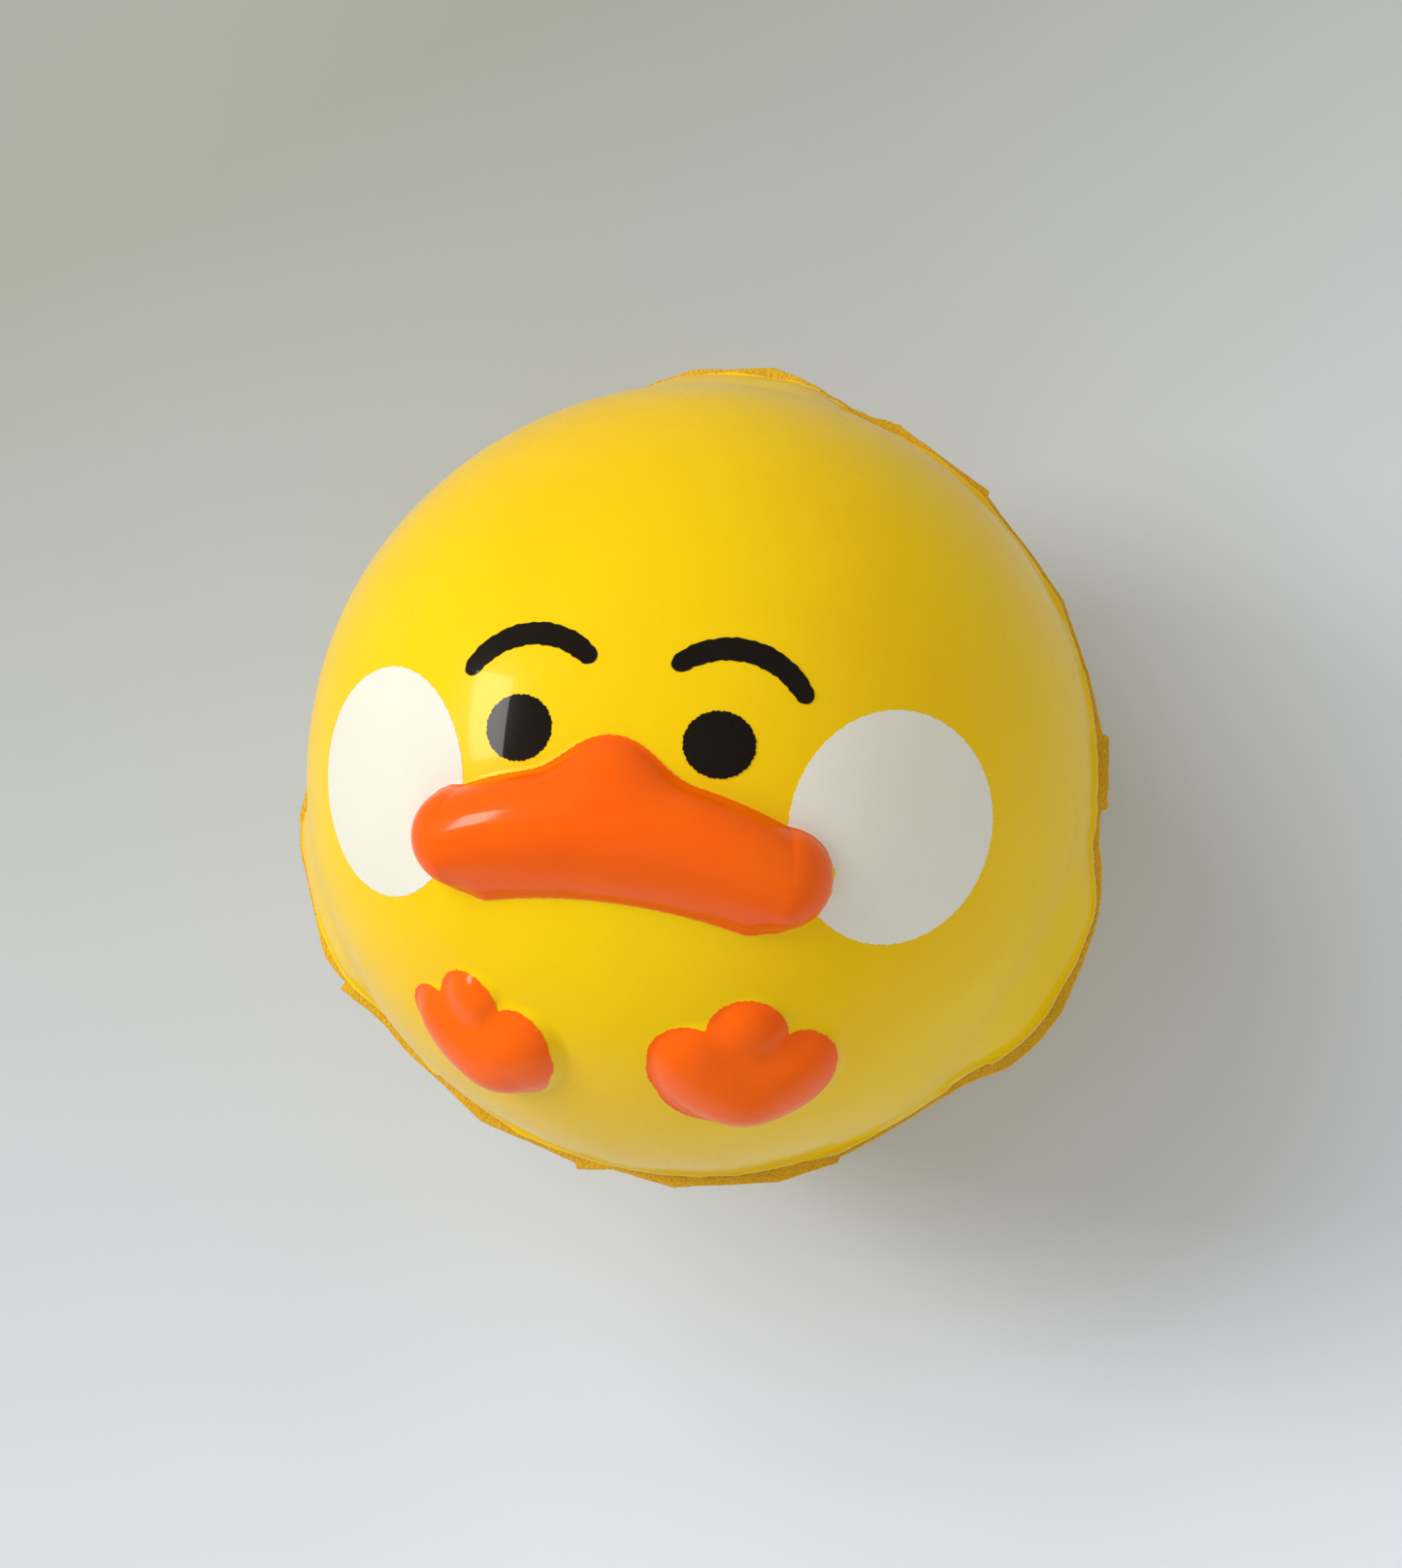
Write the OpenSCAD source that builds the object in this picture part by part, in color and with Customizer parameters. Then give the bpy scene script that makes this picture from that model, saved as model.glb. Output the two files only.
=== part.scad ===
// Foam stress ball in the form of a round duckling, lying on its back with its face up.
// A slow-rebound foam core fills two formed films, which meet at a hand-trimmed seam. Bill, feet,
// wings and crest are moulded in relief, and the face is printed on the front film.
// Millimetres; every length, width, rise, drop and distance on the ball is taken along its surface.
// +Z is the way the face looks, +Y is the top of the head, +X is the right of the face
// as it is looked at. The origin is the middle of the flat that the ball rests on.

/* [Ball] */
// Diameter of the covered ball, without its relief
ball_d = 63; // [50:0.5:80]
// Thickness of the two covering films
film_t = 0.4; // [0.2:0.05:0.6]
// Diameter of the flat that the soft ball rests on
rest_flat_d = 14; // [8:0.5:18]

/* [Seam] */
// Thickness of the foam fin squeezed out between the films
fin_t = 0.4; // [0.2:0.05:0.8]
// Mean width that the fin stands proud of the ball
fin_w = 1.0; // [0.7:0.05:1.5]
// Mean width of each film's turned-out lip
lip_w = 0.55; // [0.4:0.05:0.7]
// Number of straight scissor cuts round the seam
snips = 38; // [28:1:60]

/* [Wings and crest] */
// Angle of each wing's middle below the level of the ball's centre
wing_drop = 23.5; // [10:0.5:35]
// Length of a wing, which runs along the rim
wing_l = 17.6; // [14:0.2:20]
// Width of a wing
wing_w = 9.4; // [8:0.2:12]
// Height that a wing stands proud of the ball
wing_proud = 1.5; // [0.8:0.1:2.2]
// Length of the crest, which runs along the rim
crest_l = 16.4; // [13:0.2:18]
// Width of the crest
crest_w = 8.6; // [7:0.2:11]
// Height that the crest stands proud of the ball
crest_proud = 1.4; // [0.8:0.1:2.2]

/* [Bill] */
// Drop from the middle of the face to the middle of the upper bill
bill_drop = 7; // [5:0.1:8]
// Length of the upper bill from end to end
bill_l = 31.8; // [26:0.2:36]
// Width of the upper bill
bill_w = 8.2; // [6:0.2:9]
// Height that the upper bill stands proud of the ball
bill_proud = 3.2; // [2:0.1:4]
// Drop from the middle of the upper bill to the middle of the lower bill
lower_bill_drop = 3.6; // [2.5:0.1:4.5]
// Length of the lower bill from end to end
lower_bill_l = 23; // [14:0.2:24]
// Width of the lower bill
lower_bill_w = 5.4; // [4:0.2:6.4]
// Height that the lower bill stands proud of the ball
lower_bill_proud = 1.6; // [1:0.1:2.5]
// Extra width of the round ends of both bills
bill_end_extra_w = 0.8; // [0.5:0.1:1.5]
// Extra height of the round ends of both bills
bill_end_extra = 0.3; // [0.2:0.1:0.8]
// Rise from the middle of the upper bill to the middle of the bridge over it
bridge_rise = 2.4; // [1.5:0.1:3]
// Width of the bridge
bridge_w = 6.8; // [5:0.2:8]
// Height that the bridge stands proud of the ball
bridge_proud = 1.9; // [1:0.1:2.4]

/* [Feet] */
// Distance from the midline to the middle of a foot
foot_side = 14.5; // [13:0.1:17]
// Drop from the middle of the face to the middle of a foot
foot_drop = 26.4; // [24:0.1:28]
// Angle that each foot is turned outwards
foot_turn = 8; // [0:1:20]
// Width of each half of the foot's heel
heel_w = 9; // [7:0.2:10]
// Height that the heel stands proud of the ball
heel_proud = 1.9; // [1:0.1:3]
// Distance from the middle of a foot back to the middle of its heel
heel_back = 1; // [0.5:0.1:2.5]
// Distance from the middle of the heel to the middle of each half
heel_spread = 2.2; // [1:0.1:3]
// Width of each toe
toe_w = 5.6; // [4:0.2:7]
// Height that each toe stands proud of the ball
toe_proud = 1.3; // [0.8:0.1:2.5]
// Distance from the middle of a foot to the middle of each toe
toe_reach = 4.1; // [3:0.1:4.6]
// Angle between two toes
toe_fan = 64; // [50:1:70]

/* [Printing] */
// Thickness of the printed ink
ink_t = 0.15; // [0.1:0.01:0.25]
// Gap between two printed colours
ink_gap = 0.1; // [0.05:0.01:0.3]
// Diameter of a cheek patch
cheek_d = 17.2; // [12:0.2:18]
// Distance from the midline to the middle of a cheek
cheek_side = 21.1; // [19:0.1:24]
// Drop from the middle of the face to the middle of a cheek
cheek_drop = 5; // [0:0.1:8]
// Diameter of an eye
eye_d = 4.8; // [3:0.1:6]
// Distance from the midline to the middle of an eye
eye_side = 7.4; // [6.5:0.1:9]
// Rise from the middle of the face to the middle of an eye
eye_rise = 0; // [-0.3:0.1:3]
// Radius of the middle of the brow's stroke, about the eye
brow_r = 6.2; // [5:0.1:8]
// Width of the brow's stroke
brow_w = 1.7; // [0.8:0.1:2.2]
// Half angle of the brow's arc
brow_spread = 46; // [20:1:60]
// Angle that the brow's middle leans out from straight above the eye
brow_lean = 8; // [0:1:20]

/* [Hidden] */

LEFT = -1;
RIGHT = 1;
UP = 90;
$fn = 96;

ball_r = ball_d / 2;
// Height of the ball's centre over the flat
centre_z = sqrt(pow(ball_r, 2) - pow(rest_flat_d / 2, 2));
// Longer than anything on the ball
far = 3 * ball_r;
// Height of a loaf over its widest level, as a share of its height over its ends
loaf_root = 1.15;
// Share of the mean width that a scissor cut leaves at least, and how much more it may leave
trim_least = 0.6;
trim_play = 0.8;
// Seed of the hand-trimmed edge
trim_seed = 11;

// Each pad on the rim: [direction, length, width, proud height]
RIM_PADS = [
    [-wing_drop, wing_l, wing_w, wing_proud],
    [180 + wing_drop, wing_l, wing_w, wing_proud],
    [UP, crest_l, crest_w, crest_proud]
];

// Angle that a length along the surface takes up, as seen from the ball's centre
function angle_of(length) = length / ball_r * 180 / PI;

// Smallest angle between two directions
function apart(a, b) = abs((a - b + 540) % 360 - 180);

// Straight distance from the middle of a width on the ball's surface to its edge
function reach_of(width) = ball_r * sin(angle_of(width / 2));

// Depth of the edge of a width on the ball's surface below its middle
function sag_of(width) = ball_r - ball_r * cos(angle_of(width / 2));

// Radius of a dome that is this wide where it leaves the ball, and this proud in its middle
function dome_r(width, proud) =
    let (cap_h = proud + sag_of(width))
    (pow(reach_of(width), 2) + pow(cap_h, 2)) / (2 * cap_h);

// Height of the top of a loaf over its own widest level
function loaf_h(length, proud) = loaf_root * (proud + sag_of(length));

// Half of the widest span of a loaf that has this width where it leaves the ball
function loaf_half(length, width, proud) =
    let (
        height = loaf_h(length, proud),
        level = (height - proud - sag_of(width)) / height
    )
    reach_of(width) / sqrt(1 - pow(level, 2));

// Distance from the centre to the outline of one rim pad in a direction, or 0 past its ends
function pad_reach(pad, direction) =
    let (
        beyond = apart(direction, pad[0]),
        height = loaf_h(pad[1], pad[3]),
        half_l = loaf_half(pad[1], pad[1], pad[3]),
        middle = ball_r + pad[3] - height,
        // The ray from the centre meets the loaf's ellipse where a d^2 - 2 b d + c = 0
        a = pow(cos(beyond) / height, 2) + pow(sin(beyond) / half_l, 2),
        b = middle * cos(beyond) / pow(height, 2),
        c = pow(middle / height, 2) - 1,
        room = b * b - a * c
    )
    beyond > 90 || room < 0 ? 0 : (b + sqrt(room)) / a;

// Distance from the centre to the moulded outline in the parting plane
function outline_reach(direction) =
    max([ball_r, for (pad = RIM_PADS) pad_reach(pad, direction)]);

// Corners of the hand-trimmed edge, a mean width outside the moulded outline
function trimmed_edge(width) =
    let (
        play = rands(0, 1, snips, trim_seed),
        step = 360 / snips
    )
    [
        for (i = [0 : snips - 1])
            let (
                direction = (i + 0.5 * play[(i * 7 + 3) % snips]) * step,
                reach = outline_reach(direction) + width * (trim_least + trim_play * play[i])
            )
            reach * [cos(direction), sin(direction)]
    ];

// Turns +Z to a place on the face, given as lengths along the surface
module on_face(side, rise) {
    rotate([0, angle_of(side), 0])
        rotate([-angle_of(rise), 0, 0])
            children();
}

// Low dome whose edge lies on the ball, its middle on +Z
module dome(width, proud, inset) {
    r = dome_r(width, proud);
    translate([0, 0, ball_r + proud - r])
        sphere(r = r - inset);
}

// Low loaf along X whose edge lies on the ball, its middle on +Z
module loaf(length, width, proud, inset) {
    height = loaf_h(length, proud);
    half_l = loaf_half(length, length, proud);
    half_w = loaf_half(length, width, proud);
    translate([0, 0, ball_r + proud - height])
        scale([half_l - inset, half_w - inset, height - inset])
            sphere(r = 1);
}

// Wings and crest, which straddle the parting plane
module rim_pads(inset) {
    for (pad = RIM_PADS)
        rotate([0, 0, pad[0]])
            rotate([90, 0, 90])
                loaf(pad[1], pad[2], pad[3], inset);
}

// Rod along X, bent round the ball, with fuller round ends and its middle on +Z
module bent_rod(length, width, proud, inset) {
    rod_r = dome_r(width, proud);
    end_w = width + bill_end_extra_w;
    half_angle = angle_of(length - end_w) / 2;
    rotate([90, 0, 0])
        rotate([0, 0, UP - half_angle])
            rotate_extrude(angle = 2 * half_angle)
                translate([ball_r + proud - rod_r, 0])
                    circle(r = rod_r - inset);
    for (end = [-1, 1])
        rotate([0, end * half_angle, 0])
            dome(end_w, proud + bill_end_extra, inset);
}

module bill_relief(inset) {
    on_face(0, -bill_drop)
        bent_rod(bill_l, bill_w, bill_proud, inset);
    on_face(0, -bill_drop - lower_bill_drop)
        bent_rod(lower_bill_l, lower_bill_w, lower_bill_proud, inset);
    on_face(0, bridge_rise - bill_drop)
        dome(bridge_w, bridge_proud, inset);
}

module foot_relief(side, inset) {
    on_face(side * foot_side, -foot_drop)
        rotate([0, 0, -side * foot_turn]) {
            rotate([angle_of(heel_back), 0, 0])
                for (half = [LEFT, RIGHT])
                    rotate([0, half * angle_of(heel_spread), 0])
                        dome(heel_w, heel_proud, inset);
            for (toe = [-1, 0, 1])
                rotate([0, 0, toe * toe_fan])
                    rotate([-angle_of(toe_reach), 0, 0])
                        dome(toe_w, toe_proud, inset);
        }
}

// Everything inside the surface that lies a depth under the outside of the films
module moulding(inset) {
    difference() {
        union() {
            sphere(r = ball_r - inset);
            rim_pads(inset);
            bill_relief(inset);
            foot_relief(LEFT, inset);
            foot_relief(RIGHT, inset);
        }
        translate([-far, -far, inset - centre_z - far])
            cube([2 * far, 2 * far, far]);
    }
}

// Half space in front of the parting plane, clear of the fin
module front_side() {
    translate([-far, -far, fin_t / 2])
        cube([2 * far, 2 * far, far]);
}

module rear_side() {
    mirror([0, 0, 1])
        front_side();
}

// Flat ring of film round the seam, one film thick, in front of the fin
module lip() {
    translate([0, 0, fin_t / 2])
        linear_extrude(film_t)
            polygon(trimmed_edge(lip_w));
}

// Layer of ink on the bare ball within a shape that the children give
module ink_on_ball() {
    intersection() {
        // Turned so that no printed shape crosses a sphere's own seam
        rotate([0, 0, UP])
            difference() {
                sphere(r = ball_r + ink_t);
                sphere(r = ball_r);
            }
        children();
    }
}

// Room that the printed bill takes, with the gap to other colours
module bill_keep_out() {
    bill_relief(-ink_t - ink_gap);
}

// Rounded stroke along an arc about +Z
module stroke(arc_r, width, half_angle) {
    rotate([0, 0, UP - half_angle])
        rotate_extrude(angle = 2 * half_angle)
            translate([arc_r - width / 2, 0])
                square([width, far]);
    for (end = [-1, 1])
        rotate([0, 0, UP + end * half_angle])
            translate([arc_r, 0, 0])
                cylinder(h = far, d = width);
}

module foot_print(side) {
    color("#EE5A0C")
        difference() {
            foot_relief(side, -ink_t);
            foot_relief(side, 0);
            sphere(r = ball_r);
        }
}

module cheek_print(side) {
    color("#E9E9E4")
        difference() {
            ink_on_ball()
                on_face(side * cheek_side, -cheek_drop)
                    cylinder(h = far, d = cheek_d);
            bill_keep_out();
        }
}

module eye_print(side) {
    color("#120C0B")
        difference() {
            ink_on_ball()
                on_face(side * eye_side, eye_rise)
                    cylinder(h = far, d = eye_d);
            bill_keep_out();
        }
}

module brow_print(side) {
    color("#120C0B")
        ink_on_ball()
            on_face(side * eye_side, eye_rise)
                rotate([0, 0, -side * brow_lean])
                    stroke(brow_r, brow_w, brow_spread);
}

module foam_core() {
    color("#C98A12") {
        moulding(film_t);
        translate([0, 0, -fin_t / 2])
            linear_extrude(fin_t)
                polygon(trimmed_edge(fin_w));
    }
}

module front_skin() {
    color("#F4D000")
        difference() {
            union() {
                intersection() {
                    moulding(0);
                    front_side();
                }
                lip();
            }
            moulding(film_t);
        }
}

module rear_skin() {
    color("#EDC400")
        difference() {
            union() {
                intersection() {
                    moulding(0);
                    rear_side();
                }
                mirror([0, 0, 1])
                    lip();
            }
            moulding(film_t);
        }
}

module bill_print() {
    color("#F4660A")
        difference() {
            bill_relief(-ink_t);
            bill_relief(0);
            sphere(r = ball_r);
        }
}

translate([0, 0, centre_z]) {
    foam_core();
    front_skin();
    rear_skin();
    bill_print();
    foot_print(LEFT);  // left_foot_print
    foot_print(RIGHT);  // right_foot_print
    cheek_print(LEFT);  // left_cheek_print
    cheek_print(RIGHT);  // right_cheek_print
    eye_print(LEFT);  // left_eye_print
    eye_print(RIGHT);  // right_eye_print
    brow_print(LEFT);  // left_brow_print
    brow_print(RIGHT);  // right_brow_print
}
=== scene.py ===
import math
import random

import bpy
import numpy as np
from bpy.props import FloatProperty, FloatVectorProperty, IntProperty, PointerProperty
from mathutils import Matrix, Vector


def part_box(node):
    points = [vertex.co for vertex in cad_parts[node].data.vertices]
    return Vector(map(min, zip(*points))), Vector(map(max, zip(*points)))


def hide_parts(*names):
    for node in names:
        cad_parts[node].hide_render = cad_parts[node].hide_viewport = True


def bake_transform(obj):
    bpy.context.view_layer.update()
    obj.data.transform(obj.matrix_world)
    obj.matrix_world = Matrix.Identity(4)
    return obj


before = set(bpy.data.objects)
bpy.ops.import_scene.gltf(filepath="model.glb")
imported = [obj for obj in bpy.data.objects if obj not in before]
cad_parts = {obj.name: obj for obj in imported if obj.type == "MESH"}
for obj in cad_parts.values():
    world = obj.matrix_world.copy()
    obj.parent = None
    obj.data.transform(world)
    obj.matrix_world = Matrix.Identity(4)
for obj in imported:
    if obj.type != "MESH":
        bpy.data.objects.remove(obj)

bl_info = {
    "name": "Foam duckling stress ball",
    "version": (1, 0, 0),
    "blender": (4, 5, 0),
    "location": "3D View > Sidebar > Stress ball",
    "description": "Covers the fixed frame of a foam stress ball with its films, foam seam and printing",
    "category": "Add Mesh",
}

MM = 0.001
X, Y, Z = np.eye(3)
LEFT, RIGHT = -1, 1

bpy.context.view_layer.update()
SEAM_Z = (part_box("front_skin")[0][2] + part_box("rear_skin")[1][2]) / 2
CENTRE = SEAM_Z * Z


# ---------------------------------------------------------------- settings

class BallSizes(bpy.types.PropertyGroup):
    """Sizes of the ball, its films and its seam"""

    radius: FloatProperty(
        name="Ball radius", description="Radius of the covered ball without its relief",
        default=31.5 * MM, subtype="DISTANCE", unit="LENGTH")
    film: FloatProperty(
        name="Film", description="Thickness of the two covering films",
        default=0.4 * MM, subtype="DISTANCE", unit="LENGTH")
    fin: FloatProperty(
        name="Fin", description="Thickness of the foam fin between the films",
        default=(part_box("front_skin")[0][2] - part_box("rear_skin")[1][2]),
        subtype="DISTANCE", unit="LENGTH")
    fin_least: FloatProperty(
        name="Fin, least width", description="Least width that the trimming leaves of the fin",
        default=0.45 * MM, subtype="DISTANCE", unit="LENGTH")
    fin_most: FloatProperty(
        name="Fin, most width", description="Greatest width that the trimming leaves of the fin",
        default=1.3 * MM, subtype="DISTANCE", unit="LENGTH")
    lip: FloatProperty(
        name="Lip", description="Width that the films' lips stay short of the fin's edge",
        default=0.28 * MM, subtype="DISTANCE", unit="LENGTH")
    snips: IntProperty(
        name="Snips", description="Number of scissor cuts round the seam", default=38, min=12)
    columns: IntProperty(
        name="Columns", description="Mesh columns round the ball", default=720, min=90)
    waviness: FloatProperty(
        name="Waviness", description="Height of the slow waves that soft foam leaves in the film",
        default=0.07 * MM, subtype="DISTANCE", unit="LENGTH")


class ReliefSizes(bpy.types.PropertyGroup):
    """Sizes of the shapes moulded in relief, measured along the ball's surface"""

    bill_length: FloatProperty(
        name="Bill length", description="Length of the upper bill from end to end",
        default=31.8 * MM, subtype="DISTANCE", unit="LENGTH")
    bill_width: FloatProperty(
        name="Bill width", description="Width of the upper bill",
        default=7.5 * MM, subtype="DISTANCE", unit="LENGTH")
    bill_proud: FloatProperty(
        name="Bill height", description="Height that the upper bill stands proud",
        default=3.3 * MM, subtype="DISTANCE", unit="LENGTH")
    bill_droop: FloatProperty(
        name="Bill droop", description="Drop of the bill's ends below its middle",
        default=2.6 * MM, subtype="DISTANCE", unit="LENGTH")
    bill_turn: FloatProperty(
        name="Bill turn", description="Angle that the bill slopes down to the face's right",
        default=math.radians(2.1), subtype="ANGLE", unit="ROTATION")
    wing_drop: FloatProperty(
        name="Wing drop", description="Angle of each wing below the level of the ball's centre",
        default=math.radians(23.5), subtype="ANGLE", unit="ROTATION")
    wing_length: FloatProperty(
        name="Wing length", description="Length of a wing along the seam",
        default=18.0 * MM, subtype="DISTANCE", unit="LENGTH")
    wing_proud: FloatProperty(
        name="Wing height", description="Height that a wing stands proud",
        default=1.5 * MM, subtype="DISTANCE", unit="LENGTH")
    crest_length: FloatProperty(
        name="Crest length", description="Length of the crest along the seam",
        default=16.4 * MM, subtype="DISTANCE", unit="LENGTH")
    crest_proud: FloatProperty(
        name="Crest height", description="Height that the crest stands proud",
        default=1.4 * MM, subtype="DISTANCE", unit="LENGTH")
    foot_turn: FloatProperty(
        name="Foot turn", description="Angle that each foot is turned outwards",
        default=math.radians(10), subtype="ANGLE", unit="ROTATION")
    left_foot: FloatProperty(
        name="Left foot", description="Size of the left foot against the right one",
        default=0.91)
    heel_proud: FloatProperty(
        name="Heel height", description="Height that a heel stands proud",
        default=1.9 * MM, subtype="DISTANCE", unit="LENGTH")
    toe_proud: FloatProperty(
        name="Toe height", description="Height that a toe stands proud",
        default=1.2 * MM, subtype="DISTANCE", unit="LENGTH")
    toe_reach: FloatProperty(
        name="Toe reach", description="Distance from a foot's middle to the middle of each toe",
        default=4.3 * MM, subtype="DISTANCE", unit="LENGTH")
    toe_width: FloatProperty(
        name="Toe width", description="Width of each toe",
        default=5.7 * MM, subtype="DISTANCE", unit="LENGTH")
    toe_fan: FloatProperty(
        name="Toe fan", description="Angle between two toes",
        default=math.radians(68), subtype="ANGLE", unit="ROTATION")


class PrintSizes(bpy.types.PropertyGroup):
    """Sizes of the printed face, measured along the ball's surface"""

    ink: FloatProperty(
        name="Ink", description="Thickness of the printed ink",
        default=0.06 * MM, subtype="DISTANCE", unit="LENGTH")
    cheek: FloatProperty(
        name="Cheek", description="Radius of a cheek patch",
        default=8.6 * MM, subtype="DISTANCE", unit="LENGTH")
    eye: FloatProperty(
        name="Eye", description="Radius of an eye",
        default=2.5 * MM, subtype="DISTANCE", unit="LENGTH")
    brow: FloatProperty(
        name="Brow", description="Radius of the middle of a brow's stroke, about the eye",
        default=6.2 * MM, subtype="DISTANCE", unit="LENGTH")
    brow_width: FloatProperty(
        name="Brow width", description="Width of a brow's stroke in its middle",
        default=1.7 * MM, subtype="DISTANCE", unit="LENGTH")
    brow_spread: FloatProperty(
        name="Brow spread", description="Half of the angle that a brow's arc spans",
        default=math.radians(46), subtype="ANGLE", unit="ROTATION")
    brow_lean: FloatProperty(
        name="Brow lean", description="Angle that a brow's middle leans out",
        default=math.radians(8), subtype="ANGLE", unit="ROTATION")
    misprint: FloatProperty(
        name="Misprint", description="Distance that the feet are printed out of register",
        default=0.6 * MM, subtype="DISTANCE", unit="LENGTH")


class FinishColours(bpy.types.PropertyGroup):
    """Colours of the films, foam and inks"""

    yellow: FloatVectorProperty(
        name="Yellow film", description="Main colour of the films",
        default=(0.90, 0.61, 0.0), size=3, subtype="COLOR", min=0, max=1)
    yellow_deep: FloatVectorProperty(
        name="Deep yellow", description="Colour of the film where its ink is thicker",
        default=(0.88, 0.55, 0.0), size=3, subtype="COLOR", min=0, max=1)
    foam: FloatVectorProperty(
        name="Foam", description="Colour of the cut foam",
        default=(0.68, 0.38, 0.008), size=3, subtype="COLOR", min=0, max=1)
    cut_film: FloatVectorProperty(
        name="Cut film", description="Colour of the film's cut edge",
        default=(0.80, 0.70, 0.42), size=3, subtype="COLOR", min=0, max=1)
    orange: FloatVectorProperty(
        name="Orange ink", description="Colour of the bill and feet",
        default=(0.97, 0.14, 0.0), size=3, subtype="COLOR", min=0, max=1)
    orange_deep: FloatVectorProperty(
        name="Deep orange", description="Colour of the orange ink where it is thicker",
        default=(0.93, 0.105, 0.0), size=3, subtype="COLOR", min=0, max=1)
    white: FloatVectorProperty(
        name="White ink", description="Colour of the cheeks",
        default=(0.82, 0.80, 0.75), size=3, subtype="COLOR", min=0, max=1)
    black: FloatVectorProperty(
        name="Black ink", description="Colour of the eyes and brows",
        default=(0.003, 0.002, 0.002), size=3, subtype="COLOR", min=0, max=1)


class StageSettings(bpy.types.PropertyGroup):
    """Camera, light and floor"""

    distance: FloatProperty(
        name="Camera distance", description="Distance from the camera to the ball's centre",
        default=252 * MM, subtype="DISTANCE", unit="LENGTH")
    lens: FloatProperty(
        name="Lens", description="Focal length on a 36 mm wide sensor, in millimetres",
        default=80.5, unit="CAMERA")
    lean_right: FloatProperty(
        name="Camera to the right", description="Angle of the camera towards the face's right",
        default=math.radians(10.5), subtype="ANGLE", unit="ROTATION")
    lean_down: FloatProperty(
        name="Camera down", description="Angle of the camera towards the feet",
        default=math.radians(6.0), subtype="ANGLE", unit="ROTATION")
    roll: FloatProperty(
        name="Camera roll", description="Turn of the face in the view, clockwise",
        default=math.radians(6.3), subtype="ANGLE", unit="ROTATION")
    # The near floor and far floor colours are painted light and painted shade: the floor is painted
    # brighter and bluer past the feet and to the right, and darker past the crest and to the left, as the
    # room's light would fall
    floor: FloatVectorProperty(
        name="Near floor", description="Colour of the floor past the feet and to the right",
        default=(0.78, 0.83, 0.96), size=3, subtype="COLOR", min=0, max=1)
    far_floor_shade: FloatVectorProperty(
        name="Far floor", description="Colour of the floor past the crest and to the left",
        default=(0.352, 0.368, 0.333), size=3, subtype="COLOR", min=0, max=1)


SETTINGS = {
    "ball": BallSizes, "relief": ReliefSizes, "printing": PrintSizes,
    "colours": FinishColours, "stage": StageSettings,
}


def settings(name):
    return getattr(bpy.context.scene, "stress_ball_" + name)


# ---------------------------------------------------------------- places on the ball

def unit(v):
    return v / np.linalg.norm(v, axis=-1, keepdims=True)


def place_of(node):
    """Direction from the ball's centre to the middle of a node's box"""
    low, high = (np.array(corner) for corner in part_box(node))
    return unit((low + high) / 2 - CENTRE)


def axes_at(direction, along=X):
    """Tangent axes at a place: along the wanted way, across it, and outwards"""
    out = unit(direction)
    first = unit(along - out * (out @ along))
    return first, np.cross(out, first), out


def turned(axes, angle):
    first, second, out = axes
    return (
        math.cos(angle) * first + math.sin(angle) * second,
        math.cos(angle) * second - math.sin(angle) * first,
        out,
    )


def gone(axes, right, up):
    """Directions reached by going right and up along the ball's surface from a place"""
    first, second, out = axes
    right, up = np.asarray(right, float), np.asarray(up, float)
    way = right[..., None] * first + up[..., None] * second
    length = np.maximum(np.linalg.norm(way, axis=-1, keepdims=True), 1e-12)
    angle = length / settings("ball").radius
    return np.cos(angle) * out + np.sin(angle) * way / length


# ---------------------------------------------------------------- the moulded shape

def dome_radius(width, proud):
    """Radius of a dome this wide where it leaves the ball, and this proud in its middle"""
    ball = settings("ball").radius
    half = ball * math.sin(width / 2 / ball)
    height = proud + ball - math.sqrt(ball ** 2 - half ** 2)
    return (half ** 2 + height ** 2) / (2 * height)


def dome(direction, width, proud):
    radius = dome_radius(width, proud)
    middle = (settings("ball").radius + proud - radius) * unit(direction)
    return lambda p: np.linalg.norm(p - middle, axis=-1) - radius


def ridge(axes, length, width, proud, lift=0.0, swell=0.0, taper=0.0):
    """Rod bent round the ball; its ends may be lifted sideways, swollen and lowered"""
    first, second, out = axes
    ball = settings("ball").radius
    radius = dome_radius(width, proud)
    half = (length - width) / 2 / ball

    def depth(p):
        angle = np.clip(np.arctan2(p @ first, p @ out), -half, half)
        share = (angle / half) ** 2
        thick = radius * (1 + swell * share)
        reach = ball + proud * (1 - taper * share) - thick
        middle = (
            (reach * np.sin(angle))[..., None] * first
            + (reach * np.cos(angle))[..., None] * out
            + (lift * share)[..., None] * second
        )
        return np.linalg.norm(p - middle, axis=-1) - thick

    return depth


def melt(a, b, soft):
    """Union of two shapes' depths with a fillet"""
    share = np.clip(0.5 + 0.5 * (b - a) / soft, 0, 1)
    return b * (1 - share) + a * share - soft * share * (1 - share)


def melted(shapes, soft):
    def depth(p):
        total = shapes[0](p)
        for shape in shapes[1:]:
            total = melt(total, shape(p), soft)
        return total

    return depth


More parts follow.
